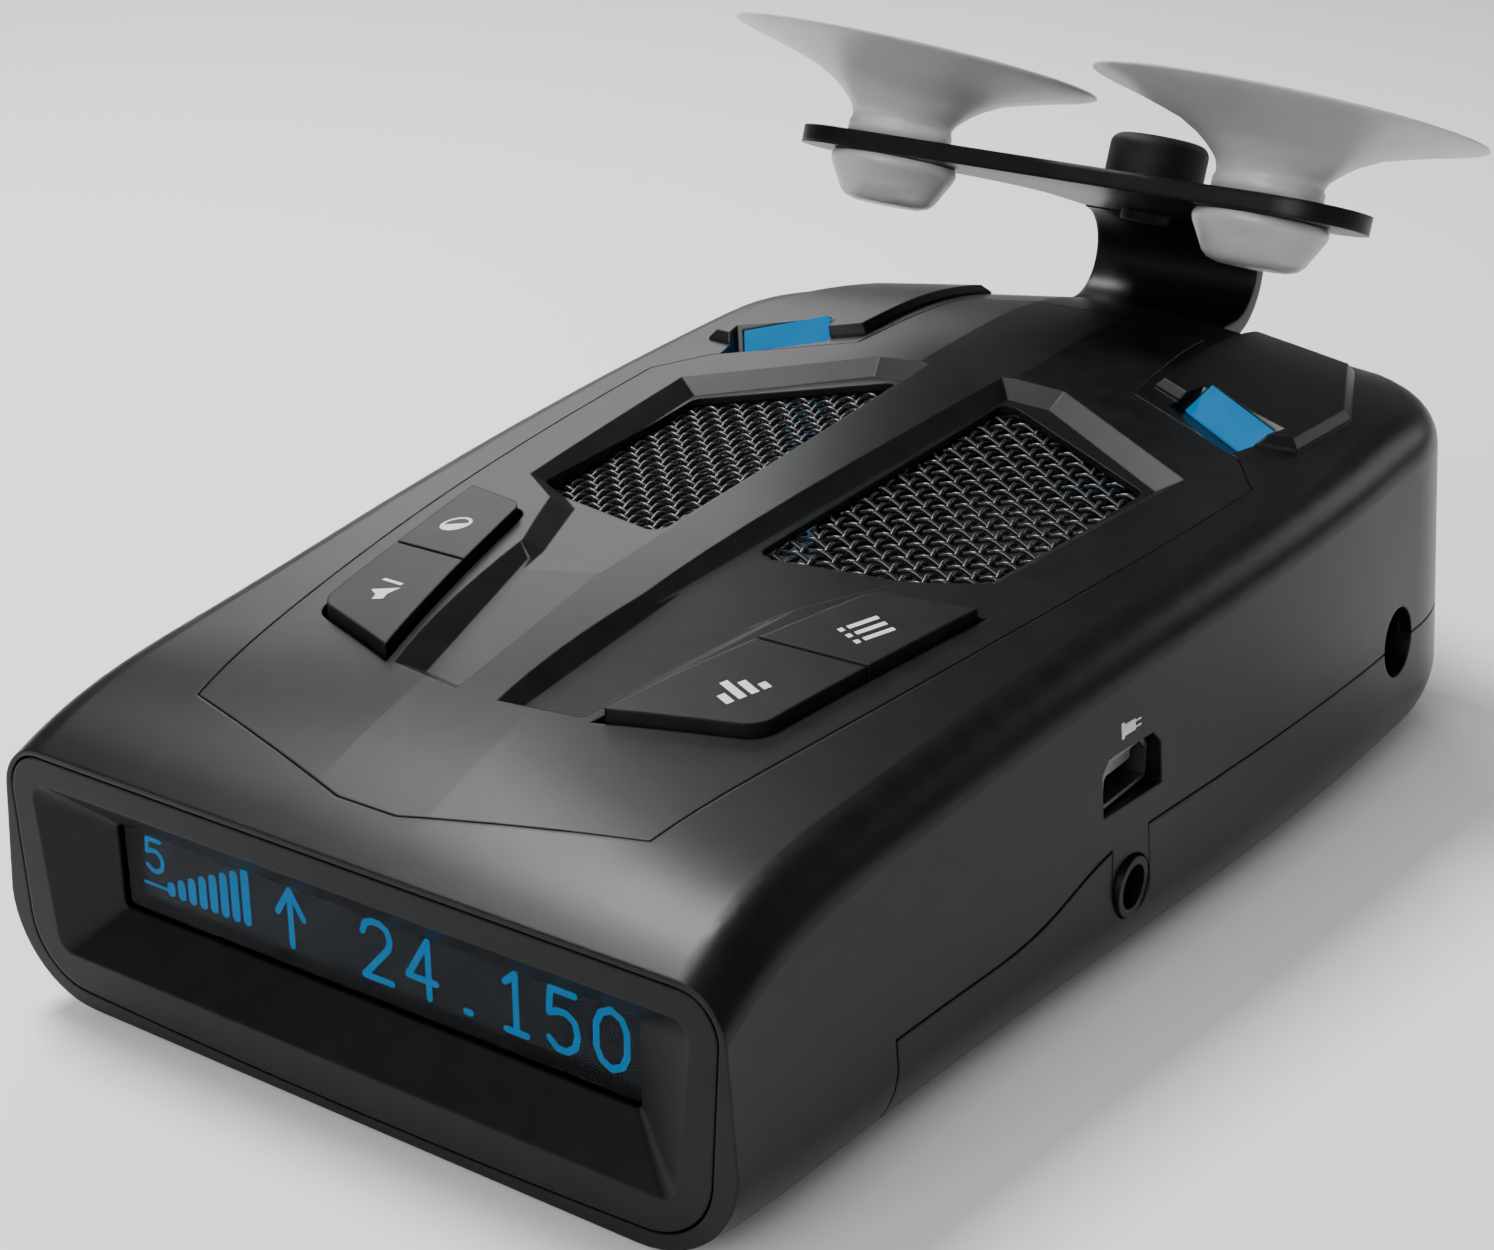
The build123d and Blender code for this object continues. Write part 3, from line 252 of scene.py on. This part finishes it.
# ---- keys ------------------------------------------------------------------------------
# Four rubbery key caps stand a little proud of the panel in two pockets. Each carries a
# small printed sign: a struck-out speaker, a half-lit disc, a row of bars and a list.
key_skin = moulded("key_skin", (0.0042, 0.0048, 0.0055), 0.46, 0.0002, 0.000004, 0.0003)
for node in ("mute_button", "dim_button", "city_button", "menu_button"):
    paint(node, key_skin)

print_ink, shader, tree, add = new_material("print_ink")
place = add("ShaderNodeTexCoord").outputs["Object"]
worn = add("ShaderNodeTexNoise", {"Scale": 2500.0, "Detail": 3.0}, Vector=place)
ink = add("ShaderNodeValToRGB", Fac=worn.outputs["Fac"])
ink.color_ramp.elements[0].color = (0.42, 0.43, 0.44, 1)
ink.color_ramp.elements[1].color = (0.72, 0.73, 0.74, 1)
tree.links.new(ink.outputs["Color"], shader.inputs["Base Color"])
shader.inputs["Roughness"].default_value = 0.55

INK_LIFT = 0.02 * MM


def bar_sign(x, y, w, h):
    """Rectangle by centre and size."""
    return [(x - w / 2, y - h / 2), (x + w / 2, y - h / 2), (x + w / 2, y + h / 2), (x - w / 2, y + h / 2)]


def arc_sign(cx, cy, r_out, r_in, a0, a1, steps=14):
    """Part of a ring, as quads."""
    out = []
    for i in range(steps):
        s, t = (math.radians(a0 + (a1 - a0) * k / steps) for k in (i, i + 1))
        out.append([(cx + r * math.cos(a), cy + r * math.sin(a))
                    for r, a in ((r_in, s), (r_out, s), (r_out, t), (r_in, t))])
    return out


def printed(name, shapes, centre, turn, size, node, body, axis=(0, 0, -1)):
    """Print flat shapes on a piece by dropping their corners on its surface."""
    bm = bmesh.new()
    down = Vector(axis)
    for shape in shapes:
        verts = []
        for x, y in shape:
            px = centre[0] + (x * math.cos(turn) - y * math.sin(turn)) * size
            py = centre[1] + (x * math.sin(turn) + y * math.cos(turn)) * size
            if axis[2]:
                start = Vector((px, py, 0.1))
            else:
                start = Vector((0.1, px, py))
            hit, spot, normal, _ = nodes[node].ray_cast(start, down)
            if hit:
                verts.append(bm.verts.new(spot - down * INK_LIFT))
        if len(verts) == len(shape):
            bm.faces.new(verts)
    return mesh_object(name, bm, print_ink, body)


speaker_sign = [[(-1.3, -.35), (-.7, -.35), (-.7, .35), (-1.3, .35)],
                [(-.7, -.35), (0, -.9), (0, .9), (-.7, .35)],
                [(.35, -.75), (.55, -.9), (1.45, .6), (1.25, .75)]]
disc_sign = arc_sign(0, 0, 1.0, 0.78, -90, 90) + arc_sign(0, 0, 1.0, 0.0, 90, 270)
skyline_sign = [bar_sign(-1.2, -.45, .5, .9), bar_sign(-.4, 0, .5, 1.8), bar_sign(.4, -.25, .5, 1.3),
                bar_sign(1.2, -.6, .5, .6)]
list_sign = [bar_sign(.25, .7, 2.1, .32), bar_sign(.25, 0, 2.1, .32), bar_sign(.25, -.7, 2.1, .32),
             bar_sign(-1.25, .7, .34, .34), bar_sign(-1.25, 0, .34, .34), bar_sign(-1.25, -.7, .34, .34)]
HALF_Y = 59.5 * MM          # display end to the origin
KEY_LEAN = math.radians(70)
sign_at = {
    "mute_button": (speaker_sign, (-16.6, 24.9), math.pi - KEY_LEAN),
    "dim_button": (disc_sign, (-19.7, 36.9), math.pi - KEY_LEAN),
    "city_button": (skyline_sign, (16.6, 24.9), KEY_LEAN),
    "menu_button": (list_sign, (19.7, 36.9), KEY_LEAN),
}
for node, (shapes, (x, y), turn) in sign_at.items():
    body = node.replace("_button", "_key")
    printed(node.replace("_button", "_sign"), shapes, (x * MM, y * MM - HALF_Y), turn, 1.35 * MM, node, body)

# ---- grilles ---------------------------------------------------------------------------
# Each sound opening is backed by plain-woven steel wire, painted black and glued under the
# panel. The knuckles of the weave catch the light.
WIRE_R = 0.22 * MM
WIRE_PITCH = 1.45 * MM
WEAVE = 0.24 * MM            # how far a wire rises and falls
OPENING = [(4.6, 44.0), (21.7, 50.7), (23.2, 75.1), (5.4, 83.3)]
WIRE_TURN = math.radians(4)

wire_paint, shader, tree, add = new_material("wire_paint")
place = add("ShaderNodeTexCoord").outputs["Object"]
chips = add("ShaderNodeTexNoise", {"Scale": 3000.0, "Detail": 3.0}, Vector=place)
coat = add("ShaderNodeValToRGB", Fac=chips.outputs["Fac"])
coat.color_ramp.elements[0].color = (0.012, 0.0125, 0.0135, 1)
coat.color_ramp.elements[1].color = (0.05, 0.052, 0.055, 1)
tree.links.new(coat.outputs["Color"], shader.inputs["Base Color"])
gloss = add("ShaderNodeMapRange", {"To Min": 0.2, "To Max": 0.34}, Value=chips.outputs["Fac"])
tree.links.new(gloss.outputs["Result"], shader.inputs["Roughness"])
shader.inputs["Metallic"].default_value = 0.6


def inside(quad, x, y):
    """True where the point is inside the convex outline."""
    sign = 0
    for (ax, ay), (bx, by) in zip(quad, quad[1:] + quad[:1]):
        cross = (bx - ax) * (y - ay) - (by - ay) * (x - ax)
        if sign == 0:
            sign = 1 if cross > 0 else -1
        if cross * sign < 0:
            return False
    return True


def tube(bm, path, r, sides=6):
    """Round bar along a path."""
    rings = []
    for i, p in enumerate(path):
        ahead = (path[min(i + 1, len(path) - 1)] - path[max(i - 1, 0)]).normalized()
        side = ahead.cross(Vector((0, 0, 1))).normalized()
        up = side.cross(ahead)
        rings.append([bm.verts.new(p + (side * math.cos(t) + up * math.sin(t)) * r)
                      for t in (math.tau * k / sides for k in range(sides))])
    for a, b in zip(rings, rings[1:]):
        for k in range(sides):
            bm.faces.new((a[k], a[(k + 1) % sides], b[(k + 1) % sides], b[k]))
    for ring in (rings[0], rings[-1]):
        bm.faces.new(ring)


def weave(name, node, mirror):
    """Plain weave filling the outline of one grille, a little beyond its opening."""
    mesh = nodes[node].data
    face = max((f for f in mesh.polygons if f.normal.z > 0.5), key=lambda f: f.area)
    normal = face.normal
    origin = mesh.vertices[face.vertices[0]].co
    grown = []
    cx = sum(p[0] for p in OPENING) / 4
    cy = sum(p[1] for p in OPENING) / 4
    for x, y in OPENING:
        k = 1.05
        grown.append((cx + (x - cx) * k, cy + (y - cy) * k))
    bm = bmesh.new()
    step = WIRE_PITCH / 4
    for way in (0, 1):
        ca, sa = math.cos(WIRE_TURN), math.sin(WIRE_TURN)
        for i in range(-17, 18):
            run = []
            for j in range(-68, 69):
                u, v = (i * WIRE_PITCH, j * step) if way else (j * step, i * WIRE_PITCH)
                x = cx * MM + u * ca - v * sa
                y = cy * MM + u * sa + v * ca
                if not inside(grown, x / MM, y / MM):
                    if len(run) > 5:
                        tube(bm, run, WIRE_R)
                    run = []
                    continue
                sway = math.cos(math.pi * j / 4) * (1 if i % 2 else -1) * (1 if way else -1)
                px = -x if mirror else x
                py = y - HALF_Y
                pz = origin.z - (normal.x * (px - origin.x) + normal.y * (py - origin.y)) / normal.z
                pz += sway * WEAVE - WIRE_R - WEAVE
                run.append(Vector((px, py, pz)))
            if len(run) > 5:
                tube(bm, run, WIRE_R)
    obj = mesh_object(name, bm, wire_paint, "detector", smooth=True)
    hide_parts(node)
    return obj


weave("woven_grille_right", "grille_right", False)
weave("woven_grille_left", "grille_left", True)

# ---- alert windows ---------------------------------------------------------------------
# Two frosted light pipes reach from lamps on the main board to slanted windows in the roof,
# and glow blue when a signal is met.
WINDOW_BLUE = (0.0, 0.33, 0.80, 1)
WINDOW_STRENGTH = 0.62
WINDOW_CELLS = 300.0
window_glow = lit("window_glow", WINDOW_BLUE, WINDOW_STRENGTH, WINDOW_CELLS)
paint("alert_lens_left", window_glow)
paint("alert_lens_right", window_glow)

# ---- sockets ---------------------------------------------------------------------------
# The earphone jack and power jack are moulded black; the small data port is a folded tinned-steel shell with a
# black tongue, its metal coloured far darker than tin as painted shade for the inside of the recessed port.
jack_skin = moulded("jack_skin", (0.003, 0.003, 0.0034), 0.36, 0.00025, 0.000003, 0.00015)
paint("earphone_jack", jack_skin)
paint("power_jack", jack_skin)


def bright_metal(name, colour, rough, scale=700.0):
    """Plated or cast metal with fine scratches."""
    mat, shader, tree, add = new_material(name)
    place = add("ShaderNodeTexCoord").outputs["Object"]
    scratch = add("ShaderNodeTexNoise", {"Scale": scale, "Detail": 8.0, "Distortion": 1.2}, Vector=place)
    sheen = add("ShaderNodeMapRange", {"To Min": rough - 0.08, "To Max": rough + 0.1},
                Value=scratch.outputs["Fac"])
    tree.links.new(sheen.outputs["Result"], shader.inputs["Roughness"])
    shade = add("ShaderNodeValToRGB", Fac=scratch.outputs["Fac"])
    shade.color_ramp.elements[0].color = (*(c * 0.75 for c in colour), 1)
    shade.color_ramp.elements[1].color = (*colour, 1)
    tree.links.new(shade.outputs["Color"], shader.inputs["Base Color"])
    bump = add("ShaderNodeBump", {"Strength": 0.4, "Distance": 0.00001}, Height=scratch.outputs["Fac"])
    tree.links.new(bump.outputs["Normal"], shader.inputs["Normal"])
    shader.inputs["Metallic"].default_value = 1.0
    return mat


tin = bright_metal("tin", (0.5, 0.5, 0.5), 0.3)
paint("rf_shield", tin)
# Shell colour darkened well below the tin above: painted shade for the shade inside the recessed port.
shaded_port_shell = bright_metal("shaded_port_shell", (0.16, 0.16, 0.165), 0.42)
paint("usb_connector", shaded_port_shell)

plug_sign = [bar_sign(0, 0, 1.5, .9), bar_sign(-.95, 0, .4, 1.3), bar_sign(1.15, .24, .8, .14),
             bar_sign(1.15, -.24, .8, .14)]
printed("data_port_sign", plug_sign, (49.0 * MM - HALF_Y, 22.2 * MM), 0.0, 1.0 * MM, "upper_case", "detector",
        axis=(-1, 0, 0))

# ---- bracket ---------------------------------------------------------------------------
# The windscreen bracket is a bent steel strip with a black powder coat. A rubber bumper
# plugged through its bend rests against the glass.
bracket_coat = moulded("bracket_coat", (0.0032, 0.0036, 0.0042), 0.38, 0.00035, 0.000006, 0.0006)
paint("mount_bracket", bracket_coat)
bumper_skin = moulded("bumper_skin", (0.006, 0.006, 0.0065), 0.6, 0.0003, 0.000008, 0.0005)
paint("bracket_bumper", bumper_skin)

# ---- suction cups ----------------------------------------------------------------------
# Clear soft vinyl cups, moulded in one piece with a neck and a knob that snaps through the
# bracket. The vinyl is milky and lets light through; the rim thins to a soft edge.
vinyl, shader, tree, add = new_material("milky_vinyl")
place = add("ShaderNodeTexCoord").outputs["Object"]
cloud = add("ShaderNodeTexNoise", {"Scale": 90.0, "Detail": 6.0, "Roughness": 0.65}, Vector=place)
milk = add("ShaderNodeValToRGB", Fac=cloud.outputs["Fac"])
milk.color_ramp.elements[0].color = (0.42, 0.43, 0.43, 1)
milk.color_ramp.elements[1].color = (0.66, 0.67, 0.67, 1)
tree.links.new(milk.outputs["Color"], shader.inputs["Base Color"])
damp = add("ShaderNodeMapRange", {"To Min": 0.25, "To Max": 0.42}, Value=cloud.outputs["Fac"])
tree.links.new(damp.outputs["Result"], shader.inputs["Roughness"])
ripple = add("ShaderNodeBump", {"Strength": 0.5, "Distance": 0.00012}, Height=cloud.outputs["Fac"])
tree.links.new(ripple.outputs["Normal"], shader.inputs["Normal"])
shader.inputs["Transmission Weight"].default_value = 0.45
shader.inputs["Subsurface Weight"].default_value = 0.5
shader.inputs["Subsurface Radius"].default_value = (0.004, 0.004, 0.004)
shader.inputs["IOR"].default_value = 1.45

CUP_TURN = 128
GRIP = 0.9                  # half the strip's thickness and a hair more
FLOP = math.radians(2.3)    # how far the soft bell leans over on its neck
FLOP_AT = GRIP + 1.5
CUP_OUTLINE = [
    (0, -GRIP - 4.55), (2.0, -GRIP - 4.58), (3.3, -GRIP - 4.5), (4.2, -GRIP - 4.2), (4.75, -GRIP - 3.7),
    (5.4, -GRIP - 2.5), (6.1, -GRIP - 1.25), (6.26, -GRIP - .8), (6.24, -GRIP - .4), (6.0, -GRIP - .05),
    (5.0, -GRIP), (3.25, -GRIP), (3.25, GRIP), (4.9, GRIP), (5.15, GRIP + .2), (5.16, GRIP + 1.15),
    (4.98, GRIP + 1.5), (5.0, GRIP + 1.9), (5.25, GRIP + 2.5), (5.7, GRIP + 3.0), (6.5, GRIP + 3.75),
    (7.6, GRIP + 4.55), (9.4, GRIP + 5.5), (11.6, GRIP + 6.2), (14.2, GRIP + 6.95), (16.6, GRIP + 7.55),
    (17.9, 8.86), (18.12, 9.0), (18.05, 9.15), (17.5, 9.17), (16.2, 9.0), (13.6, 8.6),
    (11.0, 8.2), (8.0, 7.65),
    (5.0, 7.2), (2.4, 7.05), (0, 7.0)]


def cup_mesh(name, node, tab_angle):
    """Flared bell, collar, neck and knob turned about the cup's own axis; the bell leans a little."""
    joint = next(j for j in frame["joints"] if j["child"] == ("cup_left" if "left" in node else "cup_right"))
    axis = Vector(joint["axis"]).normalized()
    centre = Vector(joint["pos_m"])
    across = Vector((0, 1, 0)).cross(axis).normalized()
    back = axis.cross(across)
    bm = bmesh.new()
    rings = []
    for r, h in CUP_OUTLINE:
        ring = []
        for k in range(CUP_TURN if r else 1):
            t = math.tau * k / CUP_TURN
            soft = 1 - 0.005 * math.sin(3 * t + tab_angle) if r > 17 else 1
            x, y, z = r * soft * math.cos(t), r * soft * math.sin(t), h
            lean = FLOP * min(max((h - FLOP_AT) / 1.2, 0), 1)
            dz = z - FLOP_AT
            x, z = x * math.cos(lean) + dz * math.sin(lean), FLOP_AT + dz * math.cos(lean) - x * math.sin(lean)
            ring.append(bm.verts.new(centre + (across * x + back * y + axis * z) * MM))
        rings.append(ring)
    for a, b in zip(rings, rings[1:]):
        for k in range(CUP_TURN):
            k2 = (k + 1) % CUP_TURN
            quad = [a[k % len(a)], a[k2 % len(a)], b[k2 % len(b)], b[k % len(b)]]
            bm.faces.new(list(dict.fromkeys(quad)))
    bmesh.ops.recalc_face_normals(bm, faces=bm.faces)
    obj = mesh_object(name, bm, vinyl, joint["child"], smooth=True)
    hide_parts(node)
    return obj


cup_mesh("vinyl_cup_left", "suction_cup_left", 0.4)
cup_mesh("vinyl_cup_right", "suction_cup_right", 2.1)

# ---- inside parts ----------------------------------------------------------------------
# Everything behind the skin: green glass-fibre boards, a die-cast horn for the radar
# antenna, the speaker, the light sensor behind its dark red pane, and the screws.
board, shader, tree, add = new_material("solder_mask")
place = add("ShaderNodeTexCoord").outputs["Object"]
tracks = add("ShaderNodeTexBrick", {"Scale": 260.0, "Mortar Size": 0.03, "Color1": (0.01, 0.09, 0.03, 1),
                                    "Color2": (0.012, 0.11, 0.04, 1),
                                    "Mortar": (0.03, 0.2, 0.08, 1)}, Vector=place)
tree.links.new(tracks.outputs["Color"], shader.inputs["Base Color"])
shader.inputs["Roughness"].default_value = 0.35
for node in ("main_board", "keypad_board", "display_board"):
    paint(node, board)
cast = bright_metal("cast_horn", (0.55, 0.55, 0.56), 0.45, 1500.0)
paint("horn_antenna", cast)
dull = moulded("dull_black", (0.014, 0.014, 0.015), 0.6, 0.0003, 0.00001, 0.0002)
for node in ("speaker", "laser_sensor", "key_switches"):
    paint(node, dull)
ribbon_film = moulded("ribbon_film", (0.35, 0.2, 0.05), 0.35, 0.0006, 0.000004, 0.0001)
paint("ribbon_cable", ribbon_film)
lamp_white = moulded("lamp_white", (0.7, 0.7, 0.66), 0.4, 0.0003, 0.000002, 0.0001, tint=0.08)
paint("alert_leds", lamp_white)
screw_black = bright_metal("screw_black", (0.06, 0.06, 0.065), 0.38, 1800.0)
paint("case_screws", screw_black)
paint("board_screws", screw_black)

pane, shader, tree, add = new_material("dark_red_pane")
place = add("ShaderNodeTexCoord").outputs["Object"]
film = add("ShaderNodeTexNoise", {"Scale": 120.0, "Detail": 5.0}, Vector=place)
haze = add("ShaderNodeMapRange", {"To Min": 0.05, "To Max": 0.14}, Value=film.outputs["Fac"])
tree.links.new(haze.outputs["Result"], shader.inputs["Roughness"])
wine = add("ShaderNodeValToRGB", Fac=film.outputs["Fac"])
wine.color_ramp.elements[0].color = (0.012, 0.001, 0.002, 1)
wine.color_ramp.elements[1].color = (0.025, 0.002, 0.004, 1)
tree.links.new(wine.outputs["Color"], shader.inputs["Base Color"])
paint("laser_window", pane)

# ---- floor, light and camera -----------------------------------------------------------
# A plain pale floor under soft studio lamps: one broad lamp behind and above for the long
# sheen on the roof, and two weaker ones at the sides.
bm = bmesh.new()
bmesh.ops.create_grid(bm, x_segments=8, y_segments=8, size=3.0)
floor_mesh = bpy.data.meshes.new("floor")
bm.to_mesh(floor_mesh)
bm.free()
floor = bpy.data.objects.new("floor", floor_mesh)
bpy.context.scene.collection.objects.link(floor)
floor.location.z = cad_box[0].z - 0.0001
paper, shader, tree, add = new_material("paper")
place = add("ShaderNodeTexCoord").outputs["Object"]
fibre = add("ShaderNodeTexNoise", {"Scale": 6.0, "Detail": 4.0}, Vector=place)
shade = add("ShaderNodeValToRGB", Fac=fibre.outputs["Fac"])
shade.color_ramp.elements[0].color = (0.80, 0.80, 0.80, 1)
shade.color_ramp.elements[1].color = (0.84, 0.84, 0.84, 1)
tree.links.new(shade.outputs["Color"], shader.inputs["Base Color"])
shader.inputs["Roughness"].default_value = 0.9
shader.inputs["Specular IOR Level"].default_value = 0.1
floor_mesh.materials.append(paper)

world = bpy.data.worlds.new("studio")
bpy.context.scene.world = world
world.use_nodes = True
world.node_tree.nodes["Background"].inputs["Color"].default_value = (1, 1, 1, 1)
world.node_tree.nodes["Background"].inputs["Strength"].default_value = 0.22


def lamp(name, place, aim, size, size_y, power):
    """Rectangular soft lamp aimed at a point."""
    data = bpy.data.lights.new(name, "AREA")
    data.shape = "RECTANGLE"
    data.size = size
    data.size_y = size_y
    data.energy = power
    obj = bpy.data.objects.new(name, data)
    bpy.context.scene.collection.objects.link(obj)
    obj.location = place
    obj.rotation_euler = (Vector(aim) - Vector(place)).to_track_quat("-Z", "Y").to_euler()
    return obj


lamp("top_lamp", (-0.25, 0.03, 0.55), (0, -0.03, 0.02), 0.16, 0.20, 5.5)
lamp("back_lamp", (-0.50, 0.48, 0.36), (0, 0, 0.02), 0.30, 0.30, 1.3)
lamp("front_lamp", (0.10, -0.72, 0.42), (0.1, 0, 0), 0.5, 0.5, 6.0)
lamp("rear_lamp", (0.35, 0.70, 0.30), (0, 0, 0.02), 0.3, 0.3, 0.8)

AZIMUTH = math.radians(34.5)
ELEVATION = math.radians(22.5)
REACH = 0.20905
target = Vector((0, 0.050 - HALF_Y, 0.0218))
back = Vector((math.sin(AZIMUTH) * math.cos(ELEVATION), -math.cos(AZIMUTH) * math.cos(ELEVATION),
               math.sin(ELEVATION)))
cam_data = bpy.data.cameras.new("camera")
cam_data.lens = 61.04
cam_data.sensor_width = 36.0
cam_data.clip_start = 0.005
cam = bpy.data.objects.new("camera", cam_data)
bpy.context.scene.collection.objects.link(cam)
cam.location = target + back * REACH
cam.rotation_euler = (-back).to_track_quat("-Z", "Y").to_euler()
bpy.context.scene.camera = cam
